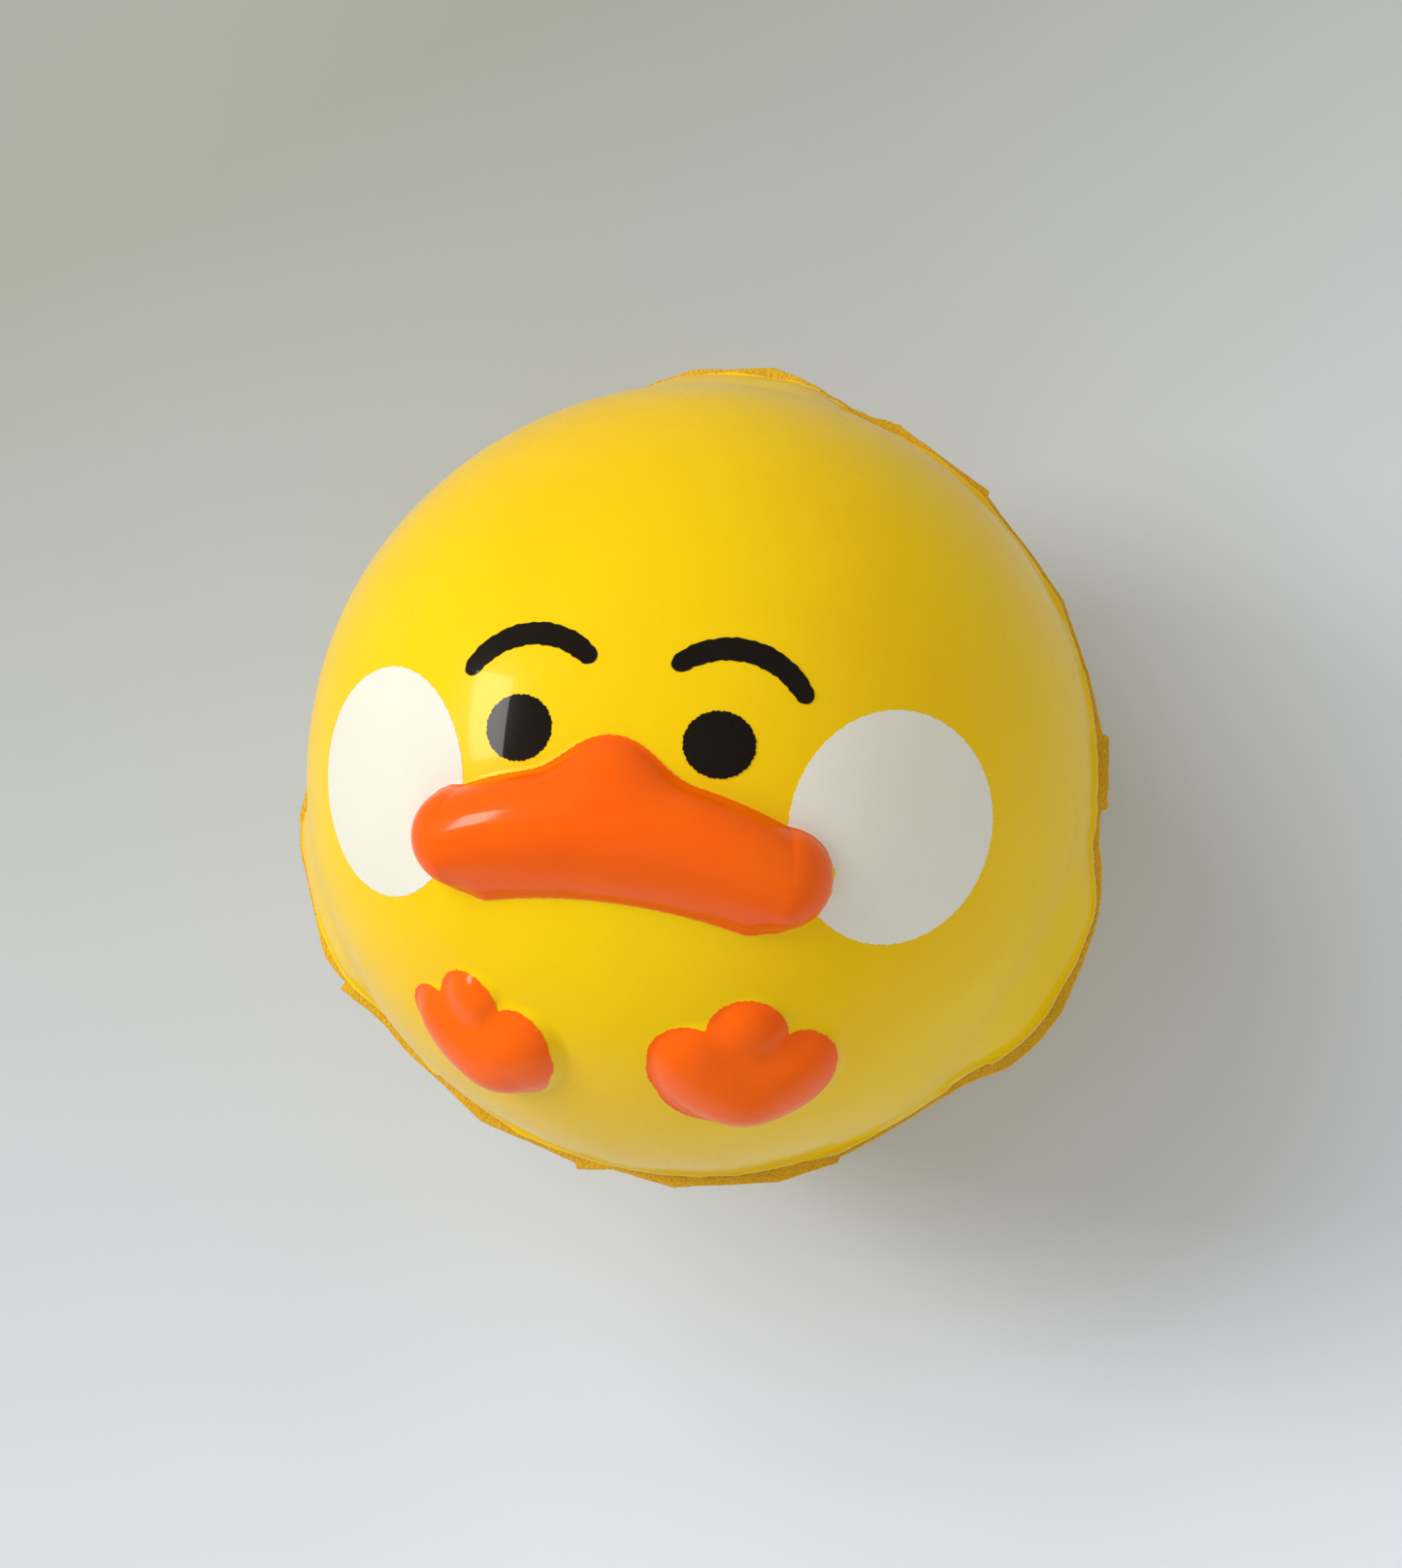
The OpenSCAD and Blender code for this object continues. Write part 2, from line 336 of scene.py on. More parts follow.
def bill_shape():
    """Upper bill with a soft bridge, over a lower bill that shows as a low ledge"""
    relief = settings("relief")
    bridge_left, bridge_rise, bridge_width, bridge_proud = 0.7 * MM, 2.5 * MM, 7.4 * MM, 1.9 * MM
    ledge_drop, ledge_length, ledge_width, ledge_proud = 2.9 * MM, 24.5 * MM, 5.2 * MM, 1.5 * MM
    bridge_fillet, ledge_fillet = 2.4 * MM, 1.7 * MM
    axes = axes_at(place_of("bill_print"))
    level = turned(axes, -relief.bill_turn)
    lower = turned(axes_at(gone(axes, 0, -ledge_drop)), -relief.bill_turn)
    upper_bill = ridge(
        level, relief.bill_length, relief.bill_width, relief.bill_proud,
        lift=-relief.bill_droop, swell=-0.04)
    bridge = dome(gone(axes, -bridge_left, bridge_rise), bridge_width, bridge_proud)
    ledge = ridge(
        lower, ledge_length, ledge_width, ledge_proud, lift=-0.55 * relief.bill_droop, taper=0.1)
    return melted([melted([upper_bill, bridge], bridge_fillet), ledge], ledge_fillet)


def foot_axes(side):
    """Axes of a foot; the left one sits a little further out and up"""
    further_out, further_up = 0.9 * MM, 0.2 * MM
    out = place_of("left_foot_print" if side == LEFT else "right_foot_print")
    if side == LEFT:
        out = gone(axes_at(out), -further_out, further_up)
    return turned(axes_at(out), -side * settings("relief").foot_turn)


def foot_shape(side, soft):
    """Two halves of a heel, filled at the back and the sides, with three low toes"""
    relief = settings("relief")
    heel_spread, heel_back, heel_width = 1.3 * MM, 0.8 * MM, 9.4 * MM
    back_reach, back_width = 2.4 * MM, 6 * MM
    side_spread, side_rise, side_width = 3.4 * MM, 0.2 * MM, 6.7 * MM
    axes = foot_axes(side)
    size = relief.left_foot if side == LEFT else 1
    halves = [
        dome(gone(axes, half * heel_spread * size, -heel_back * size), heel_width * size, relief.heel_proud)
        for half in (LEFT, RIGHT)
    ]
    shapes = [
        melted(halves, 0.4 * soft),
        dome(gone(axes, 0, -back_reach * size), back_width * size, relief.heel_proud),
    ]
    for half in (LEFT, RIGHT):
        spot = gone(axes, half * side_spread * size, side_rise)
        shapes.append(dome(spot, side_width * size, relief.toe_proud))
    for toe in (-1, 0, 1):
        turn = toe * relief.toe_fan
        reach = relief.toe_reach * size
        spot = gone(axes, reach * math.sin(turn), reach * math.cos(turn))
        shapes.append(dome(spot, relief.toe_width * size, relief.toe_proud))
    return melted(shapes, soft)


def rim_shapes():
    """Wings and crest, which straddle the seam"""
    relief = settings("relief")
    wing_width, crest_width = 9.6 * MM, 8.8 * MM
    pads = [
        (-relief.wing_drop, relief.wing_length, wing_width, relief.wing_proud),
        (math.pi + relief.wing_drop, relief.wing_length, wing_width, relief.wing_proud),
        (math.pi / 2, relief.crest_length, crest_width, relief.crest_proud),
    ]
    for turn, length, width, proud in pads:
        out = math.cos(turn) * X + math.sin(turn) * Y
        yield ridge(axes_at(out, np.cross(Z, out)), length, width, proud)


def waves(directions):
    """Slow waves and, beside the seam, fine puckers that the formed film keeps"""
    size = settings("ball").waviness
    a, b, c = directions[..., 0], directions[..., 1], directions[..., 2]
    slow = (
        np.sin(5.1 * a + 2.3 * b + 1.0) * np.sin(4.3 * c - 2.9 * a)
        + 0.6 * np.sin(9.7 * b + 6.1 * c + 0.4) * np.sin(8.3 * a - 1.7)
        + 0.25 * np.sin(17.0 * a - 13.0 * b + 2.2) * np.sin(15.0 * c + 11.0 * a)
    )
    turn = np.arctan2(b, a)
    near_seam = np.exp(-(c / 0.075) ** 2)
    patchy = np.clip(np.sin(3 * turn + 0.8) * np.sin(7 * turn + 2.0) + 0.15, 0, 1)
    puckers = near_seam * patchy * np.sin(61 * turn + 9 * np.sin(5 * turn) + 14 * c)
    return size * slow + 0.6 * size * puckers


class Moulding:
    """Outer surface of the films, as the distance from the ball's centre in each direction"""

    rim_fillet, foot_fillet, bill_fillet, flat_fillet = 1.8 * MM, 0.35 * MM, 0.45 * MM, 1.6 * MM
    toe_fillet = 1.0 * MM
    highest = 6 * MM
    most_steps, stride, near_enough = 80, 0.85, 0.0002 * MM

    def __init__(self):
        self.bill = bill_shape()
        self.feet = [foot_shape(side, self.toe_fillet) for side in (LEFT, RIGHT)]
        self.rim = list(rim_shapes())

    def depth(self, p):
        total = np.linalg.norm(p, axis=-1) - settings("ball").radius
        for shape in self.rim:
            total = melt(total, shape(p), self.rim_fillet)
        for shape in self.feet:
            total = melt(total, shape(p), self.foot_fillet)
        total = melt(total, self.bill(p), self.bill_fillet)
        # The weight of the ball presses its rear pole flat on the table
        return -melt(-total, p[..., 2] + SEAM_Z, self.flat_fillet)

    def reach(self, directions):
        """Distance to the outermost surface, found by stepping in from outside"""
        flat = directions.reshape(-1, 3)
        reach = np.full(len(flat), settings("ball").radius + self.highest)
        moving = np.arange(len(flat))
        for _ in range(self.most_steps):
            step = self.stride * self.depth(flat[moving] * reach[moving, None])
            reach[moving] -= step
            moving = moving[np.abs(step) > self.near_enough]
        # The waves fade out within 2 mm of the table
        above_flat = np.clip((flat[:, 2] * reach + SEAM_Z) / (2 * MM), 0, 1)
        reach += waves(flat) * above_flat
        return reach.reshape(directions.shape[:-1])

    def normal(self, p):
        """Outward normal of the smooth surface at a point on it"""
        step = 0.05 * MM
        here = self.depth(p)
        slope = [self.depth(p + step * axis) - here for axis in (X, Y, Z)]
        return unit(np.stack(slope, axis=-1))


# ---------------------------------------------------------------- meshes

def mesh_object(name, points, faces, materials, face_material=None, sharp=40):
    mesh = bpy.data.meshes.new(name)
    mesh.from_pydata((points + CENTRE).tolist(), [], faces)
    for material in materials:
        mesh.materials.append(material)
    if face_material is not None:
        mesh.polygons.foreach_set("material_index", face_material)
    mesh.polygons.foreach_set("use_smooth", [True] * len(mesh.polygons))
    mesh.set_sharp_from_angle(angle=math.radians(sharp))
    mesh.validate()
    mesh.update()
    piece = bpy.data.objects.new(name, mesh)
    bpy.context.scene.collection.objects.link(piece)
    return piece


def lathe_faces(rings, columns, flip):
    """Faces of a closed skin of rings, with a point at each end"""
    faces = []
    first, last = rings * columns, rings * columns + 1
    for c in range(columns):
        d = (c + 1) % columns
        faces.append((first, c, d))
        for r in range(rings - 1):
            faces.append((r * columns + c, (r + 1) * columns + c, (r + 1) * columns + d, r * columns + d))
        end = (rings - 1) * columns
        faces.append((last, end + d, end + c))
    if flip:
        faces = [face[::-1] for face in faces]
    return faces


def closed_skin(name, rings, first_pole, last_pole, materials, band=None, flip=False):
    """Piece from a list of rings; band gives the rings whose faces take the second material"""
    columns = len(rings[0])
    points = np.concatenate(list(rings) + [first_pole[None], last_pole[None]])
    faces = lathe_faces(len(rings), columns, flip)
    chosen = None
    if band is not None:
        one_column = [0] + [1 if band[0] <= r < band[1] else 0 for r in range(len(rings) - 1)] + [0]
        chosen = one_column * columns
    return mesh_object(name, points, faces, materials, chosen)


def fixed(piece, node):
    """Stand a piece in for a node"""
    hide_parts(node)
    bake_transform(piece)


def turns_round(columns):
    return np.arange(columns) * 2 * math.pi / columns


def ring_of(reach, turns, height):
    return np.stack([reach * np.cos(turns), reach * np.sin(turns), np.full_like(turns, height)], -1)


def trimmed(seed, least, most):
    """Width that straight scissor cuts leave beyond the ball, for each column"""
    wander, chance_of_step, narrowest = 0.35, 0.4, 0.1 * MM
    ball = settings("ball")
    cut = random.Random(seed)
    turns = np.arange(ball.columns) / ball.columns
    ends = [(i + cut.uniform(-wander, wander)) / ball.snips for i in range(ball.snips)]
    ends.append(ends[0] + 1)
    widths = np.zeros(ball.columns)
    left = cut.uniform(least, most)
    for start, end in zip(ends, ends[1:]):
        # Now and then the scissors are set down again beside the last cut, which leaves a step
        if cut.random() < chance_of_step:
            left = cut.uniform(least, most)
        right = cut.uniform(least, most)
        share = ((turns - start) % 1) / (end - start)
        inside = share < 1
        bow = ball.radius * (1 - math.cos(math.pi * (end - start)))
        widths[inside] = (left + (right - left) * share - 4 * bow * share * (1 - share))[inside]
        left = right
    return np.maximum(widths, narrowest)


class Seam:
    """Outlines of the fin and of the two lips"""

    fin_seed, lip_seeds = 5, (21, 34)
    lip_least, lip_most = 0.15 * MM, 0.55 * MM

    def __init__(self, moulding):
        ball = settings("ball")
        self.turns = turns_round(ball.columns)
        self.outline = moulding.reach(ring_of(np.ones(ball.columns), self.turns, 0.0))
        fin = trimmed(self.fin_seed, ball.fin_least, ball.fin_most)
        self.fin = self.outline + fin
        self.lips = []
        for seed in self.lip_seeds:
            own = trimmed(seed, self.lip_least, self.lip_most)
            self.lips.append(self.outline + np.minimum(own, fin - ball.lip))


def ring_angles(front):
    """Angles of the mesh rings from the pole of a half: finer where there is relief"""
    if front:
        spans = ((0.6, 34, 0.30), (34, 62, 0.38), (62, 86.5, 0.8))
    else:
        spans = ((1.5, 20, 0.8), (20, 74, 1.6), (74, 86.5, 0.8))
    angles = [np.arange(low, high, step) for low, high, step in spans]
    return np.radians(np.concatenate(angles))


def film_half(name, moulding, seam, front, materials):
    """One formed film: its outside, its turned-out lip with a cut edge, and its inside"""
    ball = settings("ball")
    side = 1 if front else -1
    film, half_fin = ball.film, ball.fin / 2
    narrowest_lip, bevel, bevel_height = 0.2 * MM, 0.04 * MM, 0.05 * MM
    turns = seam.turns
    lip = seam.lips[0 if front else 1]
    rings = []
    for angle in ring_angles(front):
        way = ring_of(np.full_like(turns, math.sin(angle)), turns, side * math.cos(angle))
        rings.append(way * moulding.reach(way)[:, None])
    base = half_fin + film
    # A small fillet, the flat of the lip, its cut edge, and its underside
    for beyond, height in ((0.01, 0.6), (0.03, 0.3), (0.07, 0.1), (0.13, 0.02)):
        rings.append(ring_of(seam.outline + beyond * MM, turns, side * (base + height * MM)))
    edge = np.maximum(lip, seam.outline + narrowest_lip)
    flat = edge - bevel
    rings.append(ring_of(flat, turns, side * base))
    band = (len(rings) - 1, len(rings) + 2)
    rings.append(ring_of(edge, turns, side * (base - bevel_height)))
    rings.append(ring_of(edge, turns, side * (half_fin + bevel_height)))
    rings.append(ring_of(flat, turns, side * half_fin))
    rings.append(ring_of(seam.outline - film, turns, side * half_fin))
    inside = np.radians(np.arange(86, 1, -3.0))
    for angle in inside:
        way = ring_of(np.full_like(turns, math.sin(angle)), turns, side * math.cos(angle))
        rings.append(way * (moulding.reach(way) - film)[:, None])
    pole = side * Z
    top = moulding.reach(pole[None])[0]
    return closed_skin(
        name, rings, pole * top, pole * (top - film), materials, band, flip=not front)


def core(name, moulding, seam, materials):
    """Whole foam body with the trimmed fin round it"""
    ball = settings("ball")
    turns = seam.turns
    gap_to_film, gap_to_lip = 0.02 * MM, 0.01 * MM
    corner, lower_corner, tear_size = 0.05 * MM, 0.06 * MM, 0.03 * MM
    under = ball.film + gap_to_film
    half = ball.fin / 2 - gap_to_lip
    tears = tear_size * np.sin(40 * turns + 3 * np.sin(7 * turns))
    rings = []

    def inner(angles, side):
        for angle in angles:
            way = ring_of(np.full_like(turns, math.sin(angle)), turns, side * math.cos(angle))
            rings.append(way * (moulding.reach(way) - under)[:, None])

    inner(np.radians(np.arange(2, 88, 2.0)), 1)
    rings.append(ring_of(seam.outline - under, turns, half))
    first = len(rings) - 1
    rings.append(ring_of(seam.fin - corner, turns, half))
    rings.append(ring_of(seam.fin + tears, turns, 0.5 * half))
    rings.append(ring_of(seam.fin - tears, turns, -0.4 * half))
    rings.append(ring_of(seam.fin - lower_corner, turns, -half))
    rings.append(ring_of(seam.outline - under, turns, -half))
    inner(np.radians(np.arange(86, 1, -2.0)), -1)
    poles = [side * Z * (moulding.reach(side * Z[None])[0] - under) for side in (1, -1)]
    return closed_skin(name, rings, poles[0], poles[1], materials, (first, first + 5))


def ink_shell(name, moulding, axes, right, up, material, closed, height=1.0):
    """Layer of ink over a grid of places; a closed grid runs round its own middle"""
    ink = settings("printing").ink
    sunk = 0.6
    ways = gone(axes, right, up)
    rows, columns = ways.shape[:2]
    flat = ways.reshape(-1, 3)
    if closed:
        middle = gone(axes, np.mean(right[0]), np.mean(up[0]))
        flat = np.concatenate([flat, middle[None]])
    base = flat * moulding.reach(flat)[:, None]
    out = moulding.normal(base)
    points = np.concatenate([base + height * ink * out, base - sunk * ink * out])
    under = len(flat)
    faces = []
    span = columns if closed else columns - 1
    for r in range(rows - 1):
        for c in range(span):
            d = (c + 1) % columns
            quad = (r * columns + c, (r + 1) * columns + c, (r + 1) * columns + d, r * columns + d)
            faces += [quad, tuple(i + under for i in reversed(quad))]
    if closed:
        centre = rows * columns
        border = [(rows - 1) * columns + c for c in range(columns)]
        for c in range(columns):
            d = (c + 1) % columns
            faces += [(centre, c, d), (centre + under, d + under, c + under)]
    else:
        border = list(range(columns - 1))
        border += [r * columns + columns - 1 for r in range(rows - 1)]
        border += [(rows - 1) * columns + c for c in range(columns - 1, 0, -1)]
        border += [r * columns for r in range(rows - 1, 0, -1)]
        border = border[::-1]
    for a, b in zip(border, border[1:] + border[:1]):
        faces.append((a, a + under, b + under, b))
    return mesh_object(name, points, faces, [material], sharp=60)


def ragged(turns, size, teeth):
    """Uneven printed edge: a few sines whose pitches don't fit each other"""
    return size * (
        0.5 * np.sin(teeth * turns)
        + 0.3 * np.sin(round(1.7 * teeth) * turns + 1.3)
        + 0.4 * np.sin(round(0.43 * teeth) * turns + 4.0)
    )


def round_patch(name, moulding, axes, reach, material, rings=40, crowd=1.0, shift=(0, 0), height=1.0):
    """Ink patch whose edge lies at a reach for each of its columns"""
    turns = turns_round(len(reach))
    share = 1 - (1 - np.linspace(0.02, 1, rings)) ** crowd
    spread = share[:, None] * reach
    return ink_shell(
        name, moulding, axes, spread * np.cos(turns) + shift[0], spread * np.sin(turns) + shift[1],
        material, closed=True, height=height)


def depths_round(shape, axes, turns, furthest):
    """Depths of a relief shape on the bare ball, in steps out from a place for each column"""
    steps = np.linspace(0, furthest, 400)
    places = gone(axes, steps[:, None] * np.cos(turns), steps[:, None] * np.sin(turns))
    return steps, shape(places * settings("ball").radius)


def edge_of(shape, axes, turns, furthest, beyond):
    """How far a relief shape reaches along the bare ball, for each column round a place"""
    steps, depth = depths_round(shape, axes, turns, furthest)
    return steps[len(steps) - 1 - np.argmax((depth < beyond)[::-1], axis=0)]


def room_before(shape, axes, turns, furthest, gap):
    """How far it is from a place to a relief shape on the bare ball, for each column"""
    steps, depth = depths_round(shape, axes, turns, furthest)
    met = depth < gap
    return np.where(met.any(axis=0), steps[np.argmax(met, axis=0)], furthest)


# ---------------------------------------------------------------- materials

class Finish:
    """Small helper that builds one node material"""

    def __init__(self, name, **shader):
        self.material = bpy.data.materials.new(name)
        self.material.use_nodes = True
        self.tree = self.material.node_tree
        self.shader = self.tree.nodes["Principled BSDF"]
        for socket, value in shader.items():
            self.shader.inputs[socket.replace("_", " ")].default_value = value
        self.place = self.node("ShaderNodeTexCoord").outputs["Object"]

    def node(self, kind, **values):
        node = self.tree.nodes.new(kind)
        for key, value in values.items():
            setattr(node, key, value)
        return node

    def link(self, source, target):
        self.tree.links.new(source, target)
        return target

    def noise(self, scale, detail=2.0, roughness=0.5, stretch=None):
        node = self.node("ShaderNodeTexNoise")
        node.inputs["Scale"].default_value = scale
        node.inputs["Detail"].default_value = detail
        node.inputs["Roughness"].default_value = roughness
        source = self.place
        if stretch:
            mapping = self.node("ShaderNodeMapping")
            mapping.inputs["Scale"].default_value = stretch
            self.link(source, mapping.inputs["Vector"])
            source = mapping.outputs["Vector"]
        self.link(source, node.inputs["Vector"])
        return node.outputs["Fac"]

    def cells(self, scale):
        node = self.node("ShaderNodeTexVoronoi")
        node.inputs["Scale"].default_value = scale
        self.link(self.place, node.inputs["Vector"])
        return node.outputs["Distance"]

    def spread(self, source, low, high, to_low, to_high):
        node = self.node("ShaderNodeMapRange")
        ends = {"From Min": low, "From Max": high, "To Min": to_low, "To Max": to_high}
        for socket, value in ends.items():
            node.inputs[socket].default_value = value
        self.link(source, node.inputs["Value"])
        return node.outputs["Result"]

    def blend(self, share, first, second):
        node = self.node("ShaderNodeMix", data_type="RGBA")
        sockets = [s for s in node.inputs if s.type == "RGBA"]
        for socket, value in zip(sockets, (first, second)):
            if isinstance(value, bpy.types.NodeSocket):
                self.link(value, socket)
            else:
                socket.default_value = (*value, 1)
        self.link(share, node.inputs["Factor"])
        return [s for s in node.outputs if s.type == "RGBA"][0]

    def colour(self, source):
        self.link(source, self.shader.inputs["Base Color"])

    def roughness(self, source):
        self.link(source, self.shader.inputs["Roughness"])

    def bump(self, layers):
        """Stack bumps, each a height source, its height in metres and its strength"""
        normal = None
        for source, distance, strength in layers:
            node = self.node("ShaderNodeBump")
            node.inputs["Strength"].default_value = strength
            node.inputs["Distance"].default_value = distance
            self.link(source, node.inputs["Height"])
            if normal:
                self.link(normal, node.inputs["Normal"])
            normal = node.outputs["Normal"]
        self.link(normal, self.shader.inputs["Normal"])


def glossy_film(name, main, deep):
    """Printed film drawn over foam: slow colour drift, fine orange peel, faint smudges"""
    finish = Finish(name, Coat_Weight=0.14, Coat_Roughness=0.07, Specular_IOR_Level=0.12)
    drift = finish.spread(finish.noise(45, 3), 0.35, 0.65, 0, 1)
    speck = finish.spread(finish.noise(1400, 2), 0.3, 0.7, 0, 1)
    tone = finish.blend(drift, main, deep)
    finish.colour(finish.blend(finish.spread(speck, 0, 1, 0, 0.12), tone, deep))
    finish.roughness(finish.spread(finish.noise(110, 4, 0.6), 0.35, 0.7, 0.24, 0.38))
    finish.bump([
        (finish.noise(520, 2), 0.04 * MM, 0.12),
        (finish.noise(2600, 2), 0.01 * MM, 0.1),
    ])
    return finish.material


def film_material(front):
    name = "front_film" if front else "rear_film"
    colours = settings("colours")
    return glossy_film(name, colours.yellow[:], colours.yellow_deep[:])


def cut_edge_material():
    """Pale edge where the scissors went through the film"""
    colours = settings("colours")
    finish = Finish("film_cut_edge")
    share = finish.spread(finish.noise(900, 3), 0.4, 0.6, 0, 0.75)
    finish.colour(finish.blend(share, colours.cut_film[:], colours.yellow[:]))
    finish.roughness(finish.spread(finish.noise(3000, 2), 0.3, 0.7, 0.45, 0.7))
    finish.bump([(finish.noise(3500, 2), 0.03 * MM, 0.5)])
    return finish.material


def foam_material(name):
    """Slow-rebound foam: open cells where it is cut, with painted shade darkening the pores"""
    colours = settings("colours")
    finish = Finish(name)
    pores = finish.cells(4500)
    # Painted shade: the middle of each pore is darkened to 70 % of the foam colour, as shade inside the
    # cells would fall
    pore_shade = tuple(0.7 * part for part in colours.foam)
    light = tuple(min(1, 1.2 * part) for part in colours.foam)
    drift = finish.spread(finish.noise(160, 3), 0.35, 0.65, 0, 1)
    tone = finish.blend(drift, colours.foam[:], light)
    finish.colour(finish.blend(finish.spread(pores, 0.0, 0.45, 0.85, 0), tone, pore_shade))
    finish.roughness(finish.spread(finish.noise(800, 2), 0.3, 0.7, 0.6, 0.85))
    finish.bump([(pores, 0.12 * MM, 0.8), (finish.noise(1500, 3), 0.06 * MM, 0.6)])
    return finish.material


def ink_material(name, main, deep, dots, coat, coat_roughness):
    """Ink under the film's gloss, with a fine dot screen and a slow drift of tone"""
    finish = Finish(
        name, Coat_Weight=coat, Coat_Roughness=coat_roughness, Specular_IOR_Level=0.04)
    drift = finish.spread(finish.noise(70, 3), 0.35, 0.65, 0, 1)
    tone = finish.blend(drift, main, deep)
    screen = finish.spread(finish.cells(3600), 0.1, 0.5, 0, dots)
    finish.colour(finish.blend(screen, tone, deep))
    finish.roughness(finish.spread(finish.noise(140, 4, 0.6), 0.35, 0.7, 0.22, 0.36))
    finish.bump([
        (finish.noise(480, 2), 0.04 * MM, 0.12),
        (finish.noise(2600, 2), 0.01 * MM, 0.1),
    ])
    return finish.material


def orange_material(name):
    colours = settings("colours")
    return ink_material(
        name, colours.orange[:], colours.orange_deep[:], dots=0.25, coat=0.35, coat_roughness=0.11)


def white_material(name):
    colours = settings("colours")
    shaded = tuple(0.93 * part for part in colours.white[:2]) + (0.86 * colours.white[2],)
    return ink_material(name, colours.white[:], shaded, dots=0.3, coat=0.12, coat_roughness=0.1)


def black_material(name):
    colours = settings("colours")
    brown = (0.012, 0.007, 0.004)
    return ink_material(name, colours.black[:], brown, dots=0.4, coat=0.22, coat_roughness=0.03)


# ---------------------------------------------------------------- pieces

SHARED = {}


def moulding():
    """The moulded shape and its seam, worked out once for all pieces"""
    if "moulding" not in SHARED:
        SHARED["moulding"] = Moulding()
        SHARED["seam"] = Seam(SHARED["moulding"])
    return SHARED["moulding"], SHARED["seam"]


class BallOperator(bpy.types.Operator):
    """Base of the operators that make the ball's pieces"""

    bl_idname = "stress_ball.base"
    bl_label = "Ball piece"
    bl_options = {"INTERNAL"}

    def execute(self, context):
        shape, seam = moulding()
        self.build(shape, seam)
        return {"FINISHED"}


class STRESS_BALL_OT_front_skin(BallOperator):
    """Form the front film over the foam, with the bill, feet, wings and crest in relief"""

    bl_idname = "stress_ball.front_skin"
    bl_label = "Front skin"

    def build(self, shape, seam):
        piece = film_half("front_skin_film", shape, seam, True, [film_material(True), cut_edge_material()])
        fixed(piece, "front_skin")


class STRESS_BALL_OT_rear_skin(BallOperator):
    """Form the plain rear film, pressed flat where the ball rests"""

    bl_idname = "stress_ball.rear_skin"
    bl_label = "Rear skin"

    def build(self, shape, seam):
        piece = film_half("rear_skin_film", shape, seam, False, [film_material(False), cut_edge_material()])
        fixed(piece, "rear_skin")


class STRESS_BALL_OT_foam_core(BallOperator):
    """Fill the films with foam, with the hand-trimmed fin at the seam"""

    bl_idname = "stress_ball.foam_core"
    bl_label = "Foam core"

    def build(self, shape, seam):
        piece = core("foam_core_body", shape, seam, [foam_material("foam_body"), foam_material("foam_fin")])
        fixed(piece, "foam_core")


class STRESS_BALL_OT_bill_print(BallOperator):
    """Print the bill orange"""

    bl_idname = "stress_ball.bill_print"
    bl_label = "Bill printing"

    def build(self, shape, seam):
        furthest, past_edge, raggedness = 20 * MM, 0.12 * MM, 0.05 * MM
        axes = axes_at(place_of("bill_print"))
        turns = turns_round(600)
        reach = edge_of(shape.bill, axes, turns, furthest, past_edge) + ragged(turns, raggedness, 150)
        piece = round_patch(
            "bill_ink", shape, axes, reach, orange_material("bill_orange"), rings=90, crowd=1.5)
        fixed(piece, "bill_print")


class STRESS_BALL_OT_feet_prints(BallOperator):
    """Print the feet orange, slightly out of register with their relief"""

    bl_idname = "stress_ball.feet_prints"
    bl_label = "Feet printing"

    def build(self, shape, seam):
        outline_fillet, furthest, past_edge, raggedness = 0.2 * MM, 10 * MM, 0.1 * MM, 0.05 * MM
        shift = settings("printing").misprint
        turns = turns_round(420)
        for side, name in ((LEFT, "left_foot"), (RIGHT, "right_foot")):
            axes = foot_axes(side)
            outline = foot_shape(side, outline_fillet)
            reach = edge_of(outline, axes, turns, furthest, past_edge) + ragged(turns, raggedness, 90)
            piece = round_patch(
                name + "_ink", shape, axes, reach, orange_material(name + "_orange"),
                rings=60, crowd=1.4, shift=(-shift, -0.3 * shift))
            fixed(piece, name + "_print")


class STRESS_BALL_OT_cheek_prints(BallOperator):
    """Print the round white cheeks"""

    bl_idname = "stress_ball.cheek_prints"
    bl_label = "Cheek printing"

    def build(self, shape, seam):
        inwards, furthest, gap, raggedness = 0.3 * MM, 10 * MM, 0.06 * MM, 0.05 * MM
        turns = turns_round(420)
        whole = settings("printing").cheek + ragged(turns, raggedness, 110)
        for side, name in ((LEFT, "left_cheek"), (RIGHT, "right_cheek")):
            axes = axes_at(gone(axes_at(place_of(name + "_print")), -side * inwards, 0))
            reach = np.minimum(whole, room_before(shape.bill, axes, turns, furthest, gap))
            piece = round_patch(
                name + "_ink", shape, axes, reach, white_material(name + "_white"), rings=56, height=0.5)
            fixed(piece, name + "_print")


class STRESS_BALL_OT_eye_prints(BallOperator):
    """Print the black eyes, a little too low and too far left"""

    bl_idname = "stress_ball.eye_prints"
    bl_label = "Eye printing"

    def build(self, shape, seam):
        too_far_left, too_low, raggedness = 0.6 * MM, 0.8 * MM, 0.06 * MM
        turns = turns_round(240)
        oval = 1 + 0.04 * np.cos(2 * turns)
        reach = settings("printing").eye * oval + ragged(turns, raggedness, 38)
        for name in ("left_eye", "right_eye"):
            middle = gone(axes_at(place_of(name + "_print")), -too_far_left, -too_low)
            piece = round_patch(
                name + "_ink", shape, axes_at(middle), reach, black_material(name + "_black"), rings=22)
            fixed(piece, name + "_print")


